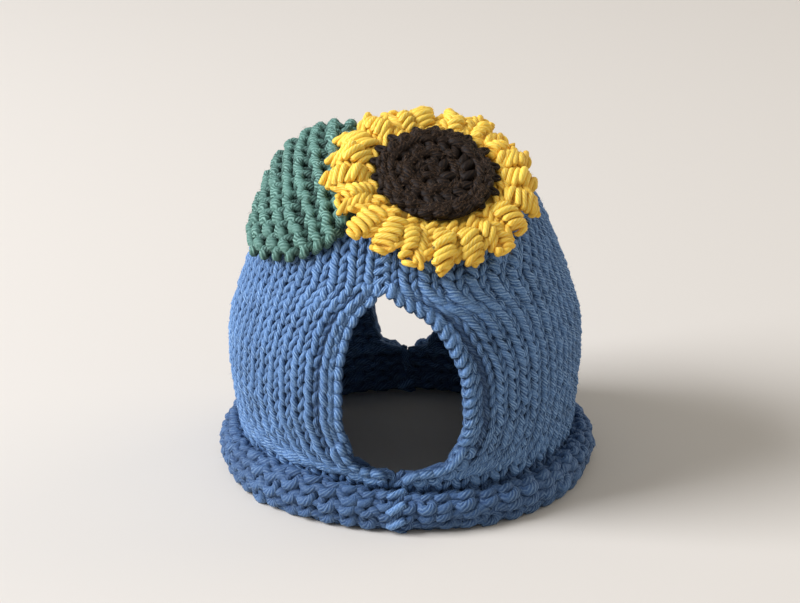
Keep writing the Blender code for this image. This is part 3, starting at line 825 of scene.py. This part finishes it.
def onFlower(radius, turn, height):
    # a place by radius, angle and height over the flower's underside, with its upward direction
    x, y = radius * np.cos(turn), radius * np.sin(turn)
    local = np.stack([x, y, flowerBase(x, y) + height], axis=-1)
    up = np.broadcast_to(flowerTurn @ np.array([0.0, 0.0, 1.0]), local.shape)
    return local @ flowerTurn.T + flowerStart, up


leaf = {  # mm and degrees
    "centre": np.array([0.0, 0.0, 62.0]),
    "aim": (-0.53, -0.25, 0.67),
    "turn": -18.0,
    "halfLength": 25.5,
    "halfWidth": 27.5,
    "thickness": 5.0,
    "puff": (3.2, 0.35, 1.1),
    "edgeDrop": 1.2,
    "ridgePitch": 5.5,
    "ridges": 13,
    "slant": -43.0,  # degrees, the ridges against the leaf's own length
    "stitchPitch": 5.6,
    "loopReach": 1.75,
    "loopBulge": 1.15,
    "tilt": 0.8,
    "depth": 1.6,
    "below": 2.35,  # mm, how far the middle of the knitting lies under the leaf's top
    "yarnRadius": 1.5,
    "headRadius": 0.12,  # how much thicker the yarn is at a loop's head
    "points": 14,
    "halfDepth": 2.8,
    "differs": (0.1, 0.18),  # loops: in reach, and in mm out of the cloth
    "ridgeWave": (0.5, 7.0, 1.9),  # mm, mm, turn from ridge to ridge
    "narrowing": (0.4, 3),
    "rim": 1.0,  # mm left free of stitches
    "fibres": 5000,
    "backing": (1.5, 0.95, 0.9),  # mm in from the ends, share of the width, mm under the stitches
}


def drape(direction, height):
    # the place this far above the crown, along a ray from inside the cosy
    near = np.zeros(direction.shape[:-1])
    far = np.full(direction.shape[:-1], 90.0)
    for _ in range(30):
        middle = (near + far) / 2
        at = leaf["centre"] + direction * middle[..., None]
        radius = np.interp(at[..., 2], sampledWall[:, 1], sampledWall[:, 0])
        away = np.hypot(at[..., 0], at[..., 1] - leanAt(at[..., 2]))
        inside = (at[..., 2] < sampledWall[-1, 1]) & (away < radius)
        near = np.where(inside, middle, near)
        far = np.where(inside, far, middle)
    return leaf["centre"] + direction * (near + height)[..., None]


leafAim = unit(np.array(leaf["aim"]))
leafAlong = unit(np.cross((0.0, 0.0, 1.0), leafAim))
leafDown = -unit(np.cross(leafAim, leafAlong))
leafReach = np.linalg.norm(drape(leafAim[None], np.zeros(1))[0] - leaf["centre"])


def leafHalfWidth(u):
    size, power = leaf["narrowing"]
    return leaf["halfWidth"] * (1 - size * np.abs(u / leaf["halfLength"]) ** power)


def onLeaf(u, v, depth):
    # a place along and down the leaf, in mm, this far below its top, with its outward direction
    turn = radians(leaf["turn"])
    along = leafAlong * cos(turn) + leafDown * sin(turn)
    down = leafDown * cos(turn) - leafAlong * sin(turn)
    f = v / leafHalfWidth(u)
    direction = unit(leafAim * leafReach + along * u[..., None] + down * v[..., None])
    size, starts, reach = leaf["puff"]
    height = leaf["thickness"] + size * (1 - fade(starts - f, reach))
    height = height - leaf["edgeDrop"] * np.clip(f, -1, 1) ** 6
    points = drape(direction, np.maximum(height - depth, 1.0))
    local = (points - flowerStart) @ flowerTurn
    under = np.hypot(local[..., 0], local[..., 1]) < flower["reach"]
    low = flowerBase(local[..., 0], local[..., 1]) - leaf["yarnRadius"] - flower["seatGap"]
    local[..., 2] = np.where(under, np.minimum(local[..., 2], low), local[..., 2])
    return local @ flowerTurn.T + flowerStart, direction


def leafRow(at):
    # where a row at this distance across the ridges enters and leaves the leaf
    slant = radians(leaf["slant"])
    along = np.linspace(-45, 45, 361)
    u = at * cos(slant) - along * sin(slant)
    v = at * sin(slant) + along * cos(slant)
    inside = (np.abs(u) < leaf["halfLength"] - leaf["rim"]) & (np.abs(v) < leafHalfWidth(u) - leaf["rim"])
    return (along[inside][0], along[inside][-1]) if inside.sum() > 12 else None


def garterLeaf():
    # garter stitch: each ridge is one row's heads over the next row's feet
    strands = []
    slant = radians(leaf["slant"])
    for k in range(2 * leaf["ridges"]):
        ridge = (k // 2 - leaf["ridges"] // 2) * leaf["ridgePitch"]
        sign = -1 if k % 2 == 0 else 1
        centre = ridge + sign * leaf["ridgePitch"] / 4
        ends = leafRow(centre)
        if ends is None:
            continue
        start, end = ends
        count = max(2, round((end - start) / leaf["stitchPitch"]))
        _, index, angle = stitchAngles(count, leaf["points"])
        taller, standing = (rng.normal(size=(count + 1, 2))[index] * leaf["differs"]).T
        x = (angle + leaf["loopBulge"] * np.sin(2 * angle)) / (2 * pi)
        y = leaf["loopReach"] * np.cos(angle) * (1 + taller) + leaf["tilt"] * np.sin(angle)
        out = -sign * leaf["depth"] * np.cos(angle) + standing
        down = start + (end - start) * np.clip((index + 0.5 + x) / count, 0.0, 1.0)
        size, waveLength, turn = leaf["ridgeWave"]
        acrossRidge = centre + y + size * np.sin(down / waveLength + k // 2 * turn)
        u = acrossRidge * cos(slant) - down * sin(slant)
        v = acrossRidge * sin(slant) + down * cos(slant)
        u = np.clip(u, -leaf["halfLength"], leaf["halfLength"])
        points, outward = onLeaf(u, v, leaf["below"] - out)
        radii = leaf["yarnRadius"] * (1 - leaf["headRadius"] * np.cos(angle) * sign)
        strand = (points, outward, radii, out)
        strands.append(strand if k % 2 == 0 else tuple(part[::-1] for part in strand))
    joined = [tuple(np.concatenate([s[k] for s in strands]) for k in range(4))]
    stitches = yarnPiece("leafStitches", joined, 8, greenAcrylic, leaf["halfDepth"])
    inFrom, wide, under = leaf["backing"]
    u, f = np.meshgrid(np.linspace(-1, 1, 40) * (leaf["halfLength"] - inFrom), np.linspace(-wide, wide, 40))
    grid = onLeaf(u, f * leafHalfWidth(u), np.full(u.shape, leaf["below"] + under))[0]
    fibres = strayFibres("leafFibres", [stitches], greenAcrylic, leaf["fibres"])
    backing = sheetPiece("leafCloth", grid, greenAcrylic)
    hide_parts("leaf")


petals = {
    "stitch": {"pitch": 2.2, "height": 1.15, "points": 20},
    # share across the petal, how far out, mm below its top, which way the strokes lean, half width,
    # yarn radius
    "broad": [(0.43, 0.95, 1.7, 0, 2.75, 1.05)],
    "paired": [(0.2, 0.9, 1.8, 1, 1.65, 1.0), (0.66, 0.95, 1.6, -1, 1.55, 1.0)],
    "pairedShare": 0.45,  # of the petals
    "leans": (0.35, 1.0),  # of the pitch
    "pitches": (0.88, 1.12),
    "root": -0.14,  # share of a petal's length, hidden under the disc
    "bow": (0.03, 0.05, 0.3),  # share of a petal: to a side, in its middle, in towards its tip
    "differs": (0.015, 0.25),  # how far out, and mm below the top
    "lumps": 0.3,  # mm, how unevenly the strokes lie
    "swell": 0.35,  # how much thicker the yarn is on a lump
    "fullness": ((0.0, 0.25, 0.6, 0.85, 1.0), (0.72, 0.92, 1.04, 1.05, 0.85)),
    "tipShare": 0.43,
    # stands and troughStands: mm added to a strand's height in the cloth, which lessen its painted shade
    # and let fuzz start there
    "tip": {"out": 0.86, "across": 1.75, "along": 1.3, "yarnRadius": 1.0, "below": 1.3, "sink": 1.2,
            "stands": 1.6, "differs": (0.05, 0.02)},
    "trough": {"pitch": 2.3, "width": 1.5, "height": 0.7, "slant": 0.7, "points": 13, "yarnRadius": 1.0},
    "troughShare": 0.94,
    "troughRoot": -0.1,
    "troughOut": 1.06,
    "troughRise": (1.3, 1.8),  # mm, at its outer end, and how much lower in the middle
    "troughStands": 1.2,
    "halfDepth": 5.2,
    "fibres": 8000,
    "backingRadii": (14.8, 17.8, 20.8),
    "backingOut": (0.25, 0.5, 0.7, 0.84),
    "backingBelow": 2.7,
    "backingPoints": 7,  # a petal
}
petalShares, petalReaches, petalCrests = np.array(flower["petalShape"]).T


def onPetal(petal, share, fraction, sunk):
    # a place on a petal: share across it, fraction of the way out, mm below its top
    step = 2 * pi / flower["petals"]
    size, wave = flower["unevenness"]
    shorter, towards = flower["shortening"]
    reach = np.interp(share, petalShares, petalReaches) + size * sin(wave * petal)
    reach = reach - shorter * max(cos(step * petal - radians(towards)), 0.0)
    radius = flower["petalRoot"] + (reach - flower["petalRoot"]) * fraction
    rise = np.sin(pi * np.clip(fraction, 0, flower["tipRise"]))
    crest = np.interp(share, petalShares, petalCrests) * rise
    height = flower["ring"] * (1 - fraction) + crest - sunk
    points, up = onFlower(radius, step * (petal + share), np.maximum(height, 0.9))
    return points, up, height


def petalRound():
    strands = []
    s = np.linspace(0.0, 1.0, 24)
    arch = np.linspace(-2.0, 2.0, 12)
    for petal in range(flower["petals"]):
        paired = rng.uniform() < petals["pairedShare"]
        for share, out, sunk, lean, width, yarnRadius in petals["paired" if paired else "broad"]:
            aside, bent, gathered = petals["bow"]
            bow = aside * rng.normal() + bent * np.sin(pi * s) * rng.normal()
            bow = bow + (petals["tipShare"] - share) * gathered * s**2
            further, deeper = petals["differs"]
            out = petals["root"] + (out + further * rng.normal() - petals["root"]) * s
            path, up, height = onPetal(petal, share + bow, out, sunk + deeper * rng.normal())
            slant = (lean or rng.choice([-1, 1])) * rng.uniform(*petals["leans"])
            look = dict(petals["stitch"], slant=slant, width=width, yarnRadius=yarnRadius,
                        fullness=petals["fullness"], start=rng.uniform(0, 2 * pi))
            look["pitch"] = look["pitch"] * rng.uniform(*petals["pitches"])
            points, up, radii, rise = winding(path, up, look)
            knots = 2 * len(radii) // look["points"] + 2
            bumps = rng.normal(0.0, petals["lumps"], (knots, 3))
            at = np.linspace(0, knots - 1, len(radii))
            moved = readAt(at, np.arange(knots), bumps)
            points = points + moved
            radii = radii * (1 + petals["swell"] * moved[:, 2])
            rise = rise + np.interp(np.linspace(0, 1, len(rise)), s, height)
            strands.append((points, up, radii, rise))
        tip = petals["tip"]
        aside, further = tip["differs"]
        share = petals["tipShare"] + aside * rng.normal()
        out = tip["out"] + further * rng.normal()
        end, up, height = onPetal(petal, share + 0 * arch, out, tip["below"])
        ahead = unit(end - flowerStart)
        sideways = unit(np.cross(ahead, up))
        sink = tip["sink"] * np.abs(np.sin(arch)) ** 3
        points = end + sideways * (tip["across"] * np.sin(arch))[:, None]
        points = points + ahead * (tip["along"] * np.cos(arch))[:, None] - up * sink[:, None]
        strands.append((points, up, tip["yarnRadius"], height + tip["stands"] - sink))
        rise, dip = petals["troughRise"]
        out = petals["troughRoot"] + (petals["troughOut"] - petals["troughRoot"]) * s
        sunk = dip * np.sin(pi * s) ** 2 - rise * s
        path, up, _ = onPetal(petal, petals["troughShare"] + 0 * s, out, sunk)
        points, up, radii, rise = winding(path, up, petals["trough"])
        strands.append((points, up, radii, rise + petals["troughStands"]))
    stitches = yarnPiece("petalStitches", strands, 8, yellowAcrylic, petals["halfDepth"])
    count = flower["petals"]
    turns = np.linspace(0, count, count * petals["backingPoints"], endpoint=False)
    rings = []
    for radius in petals["backingRadii"]:
        rings.append(onFlower(np.full(turns.shape, radius), turns * 2 * pi / count, 1.0)[0])
    for out in petals["backingOut"]:
        rings.append(np.array([onPetal(int(t), t - int(t), out, petals["backingBelow"])[0] for t in turns]))
    fibres = strayFibres("petalFibres", [stitches], yellowAcrylic, petals["fibres"])
    backing = sheetPiece("petalCloth", np.array(rings), yellowAcrylic, closed=True)
    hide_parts("petal_round")


disc = {
    "rounds": [  # radius, pitch of its chain, half its width, yarn radius, how far it is off centre, mm
        (2.9, 4.0, 1.0, 1.3, 2.3), (8.8, 4.6, 1.15, 1.45, 1.1), (15.3, 5.0, 1.25, 1.5, 0.0),
        (17.1, 4.5, 0.8, 1.15, 0.0),
    ],
    "roundWave": (0.25, 0.37),  # mm, waves a stitch
    "lumps": (0.28, 40, 0.4),  # mm, how many in a round, how much thicker the yarn is on them
    # stands, postStands and toothStands: mm added to a strand's height in the cloth, which lessen its
    # painted shade and let fuzz start there
    "stands": 0.8,
    "posts": [(5.8, 9, 5.0, 1.7), (12.2, 19, 5.4, 0.6)],  # radius, number, length, how far off centre
    "postRadius": 1.7,
    "postStands": 0.2,
    "postBow": 0.9,
    "postTwist": 0.05,
    "postDiffers": 0.25,  # of the way to the next one
    "reach": 2.7,
    "depth": 0.5,
    "points": 14,
    "below": 1.1,
    "postBelow": 1.0,
    "teeth": 19,
    "toothReach": (16.9, 20.9),
    "toothRadius": 0.7,
    "toothStands": 1.0,
    "toothWidth": 0.9,
    "toothDiffers": (0.2, -0.5, 0.4),  # of the way to the next one, and mm in and out
    "toothHeights": (4.6, 3.6),
    "frontShorter": 2.2,
    "halfDepth": 5.4,
    "fibres": 6000,
    "backing": (0.4, 18.3, 1.9),  # inner and outer radius, mm below the top
    "lowest": (1.1, 1.4),  # mm over the crown, for a post and for the backing
}


def centreHeight(radius):
    return np.interp(radius, *zip(*flower["centreTop"]))


def crochetedCentre():
    # rounds of crochet: each one's chain lies over the posts that join it to the round inside it
    strands = []
    for radius, pitch, width, yarnRadius, off in disc["rounds"]:
        turn = np.linspace(0.0, 2 * pi, 121) + rng.uniform(0, 6)
        x, y = radius * np.cos(turn) - off, radius * np.sin(turn)
        size, waves = disc["roundWave"]
        away = np.hypot(x, y) + size * np.sin(turn * round(2 * pi * radius / pitch) * waves)
        height = centreHeight(away) - disc["below"]
        path, up = onFlower(away, np.arctan2(y, x), height)
        look = dict(disc, pitch=pitch, width=width, yarnRadius=yarnRadius)
        points, up, radii, rise = chain(path, up, look)
        size, number, swell = disc["lumps"]
        bumps = rng.normal(0.0, size, number + 1)
        lumps = np.interp(np.linspace(0, number, len(points)), np.arange(number + 1), bumps)
        points = points + up * lumps[:, None]
        strands.append((points, up, radii * (1 + swell * lumps), rise + disc["stands"]))
    for radius, count, length, off in disc["posts"]:
        for post in range(count):
            turn = 2 * pi * (post + disc["postDiffers"] * rng.uniform(-1, 1)) / count
            along = np.linspace(-0.5, 0.5, 8) * length
            turn = turn + disc["postTwist"] * along
            x, y = (radius + along) * np.cos(turn) - off, (radius + along) * np.sin(turn)
            away = np.hypot(x, y)
            bow = disc["postBow"] * (along / length * 2) ** 2
            height = centreHeight(away) - disc["postBelow"] - bow
            points, up = onFlower(away, np.arctan2(y, x), np.maximum(height, disc["lowest"][0]))
            strands.append((points, up, disc["postRadius"], disc["postStands"] - bow))
    a = np.linspace(-pi, pi, 16)
    inner, outer = disc["toothReach"]
    aside, shorter, longer = disc["toothDiffers"]
    for tooth in range(disc["teeth"]):
        turn = 2 * pi * (tooth + aside * rng.uniform(-1, 1)) / disc["teeth"]
        front = max(-sin(turn), 0.0)  # at the front the disc covers its own joins
        reach = outer + rng.uniform(shorter, longer) - disc["frontShorter"] * front - inner
        radius = inner + reach * (0.5 + 0.5 * np.cos(a))
        height = np.interp(radius, (inner, outer), disc["toothHeights"])
        points, up = onFlower(radius, turn + disc["toothWidth"] * np.sin(a) / radius, height)
        strands.append((points, up, disc["toothRadius"], disc["toothStands"] + 0 * a))
    stitches = yarnPiece("centreStitches", strands, 8, brownAcrylic, disc["halfDepth"])
    inner, outer, below = disc["backing"]
    turns = np.linspace(0, 2 * pi, 72, endpoint=False)
    radii, turns = np.meshgrid(np.linspace(inner, outer, 16), turns, indexing="ij")
    grid = onFlower(radii, turns, np.maximum(centreHeight(radii) - below, disc["lowest"][1]))[0]
    fibres = strayFibres("centreFibres", [stitches], brownFuzzGlint, disc["fibres"])
    backing = sheetPiece("centreCloth", grid, brownAcrylic, closed=True)
    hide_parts("flower_centre")


garterLeaf()
print("garter stitch leaf")
petalRound()
crochetedCentre()
print("crocheted sunflower")


room = {
    "floor": (3.0, "#d8cfc2", 0.8),  # m each way from the middle, colour, roughness
    "lamps": (  # name, place, size in m, watts, tint
        ("window", (-1.85, -0.3, 1.35), 1.25, 91.0, "#ecf2ff"),
        ("wallBounce", (2.0, 0.95, 0.9), 1.6, 15.0, "#fff6ea"),
    ),
    "lampsFace": (0.0, 0.0, 0.05),
    "air": ("#d2d3d4", 0.6),
    "eye": (0.0, -0.6255, 0.2985),
    "eyeFaces": (0.0, 0.0, 0.0555),
    "lens": 90.0,  # mm
    "sensor": 36.0,
    "shift": -6 / 800,  # of the frame's width
    "nearest": 0.01,
}


def aimed(thing, place, target):
    thing.location = place
    thing.rotation_mode = "QUATERNION"
    thing.rotation_quaternion = (Vector(target) - thing.location).to_track_quat("-Z", "Y")


def studio():
    reach, colour, roughness = room["floor"]
    floor = bpy.data.meshes.new("floor")
    corners = [(-reach, -reach, 0), (reach, -reach, 0), (reach, reach, 0), (-reach, reach, 0)]
    floor.from_pydata(corners, [], [(0, 1, 2, 3)])
    ground = inScene("floor", floor)
    paper = bpy.data.materials.new("palePaper")  # matt, so that the shadow on it is soft and nothing shines
    paper.use_nodes = True
    shader = paper.node_tree.nodes["Principled BSDF"]
    shader.inputs["Base Color"].default_value = linear(colour)
    shader.inputs["Roughness"].default_value = roughness
    floor.materials.append(paper)
    for name, place, size, power, tint in room["lamps"]:
        light = bpy.data.lights.new(name, "AREA")
        light.size = size
        light.energy = power
        light.color = linear(tint)[:3]
        aimed(inScene(name, light), place, room["lampsFace"])
    colour, strength = room["air"]
    world = bpy.data.worlds.new("paleRoom")
    world.use_nodes = True
    background = world.node_tree.nodes["Background"]
    background.inputs["Color"].default_value = linear(colour)
    background.inputs["Strength"].default_value = strength
    bpy.context.scene.world = world
    bpy.context.scene.view_settings.view_transform = "Standard"
    view = bpy.data.cameras.new("camera")
    view.lens = room["lens"]
    view.sensor_width = room["sensor"]
    view.shift_x = room["shift"]
    view.clip_start = room["nearest"]
    camera = inScene("camera", view)
    aimed(camera, room["eye"], room["eyeFaces"])
    bpy.context.scene.camera = camera


studio()
print("stage, lights and camera")
